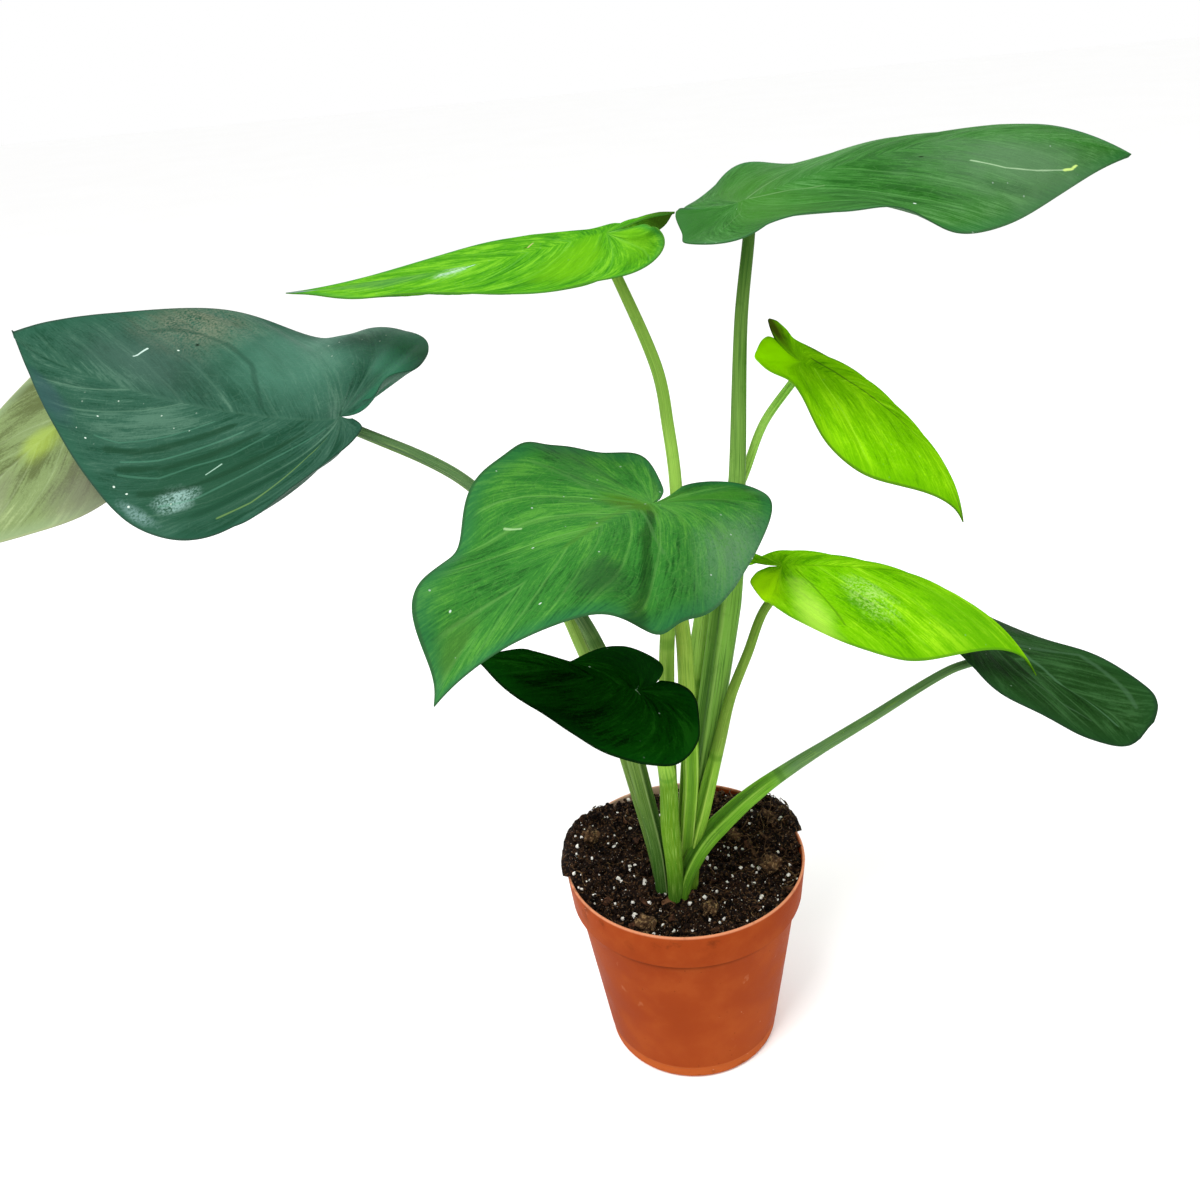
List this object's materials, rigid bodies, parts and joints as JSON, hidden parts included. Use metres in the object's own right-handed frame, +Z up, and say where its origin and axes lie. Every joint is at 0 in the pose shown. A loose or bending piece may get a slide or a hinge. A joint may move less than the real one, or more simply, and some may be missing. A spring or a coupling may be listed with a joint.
{
  "type": "potted arrowhead plant",
  "caption": "Potted Syngonium chiapense: broad heart-shaped leaves on long stalks rising from soil in a small round terracotta-coloured pot.",
  "frame": {"origin": "centre of the pot's underside, where it rests", "axes": "+Z up out of the pot, +X towards the tip of the topmost leaf, -Y towards the front"},
  "size_m": [0.5579, 0.2401, 0.4376],
  "materials": {
    "pot": "satin moulded plastic",
    "soil": "rough moist peat mix",
    "crown": "corky",
    "stalk_top": "smooth, faintly ribbed",
    "leaf_top": "satin, veined",
    "stalk_upper_left": "smooth, faintly ribbed",
    "leaf_upper_left": "glossy, veined",
    "stalk_upper_right": "smooth, faintly ribbed",
    "leaf_upper_right": "glossy, veined",
    "stalk_front": "smooth, faintly ribbed",
    "leaf_front": "satin, veined",
    "stalk_right": "smooth, faintly ribbed",
    "leaf_right": "glossy, veined",
    "stalk_far_right": "smooth, faintly ribbed",
    "leaf_far_right": "matte, veined",
    "stalk_low": "smooth, faintly ribbed",
    "leaf_low": "glossy, dark",
    "stalk_left": "smooth, faintly ribbed",
    "leaf_left": "matte, veined, a little dusty",
    "stalk_pale": "smooth, faintly ribbed",
    "leaf_pale": "matte, mottled"
  },
  "bodies": {
    "root": {"pot": "pot", "soil": "soil", "crown": "crown", "stalk_top": "stalk_top", "leaf_top": "leaf_top", "stalk_upper_left": "stalk_upper_left", "leaf_upper_left": "leaf_upper_left", "stalk_upper_right": "stalk_upper_right", "leaf_upper_right": "leaf_upper_right", "stalk_front": "stalk_front", "leaf_front": "leaf_front", "stalk_right": "stalk_right", "leaf_right": "leaf_right", "stalk_far_right": "stalk_far_right", "leaf_far_right": "leaf_far_right", "stalk_low": "stalk_low", "leaf_low": "leaf_low", "stalk_left": "stalk_left", "leaf_left": "leaf_left", "stalk_pale": "stalk_pale", "leaf_pale": "leaf_pale"}
  },
  "joints": []
}
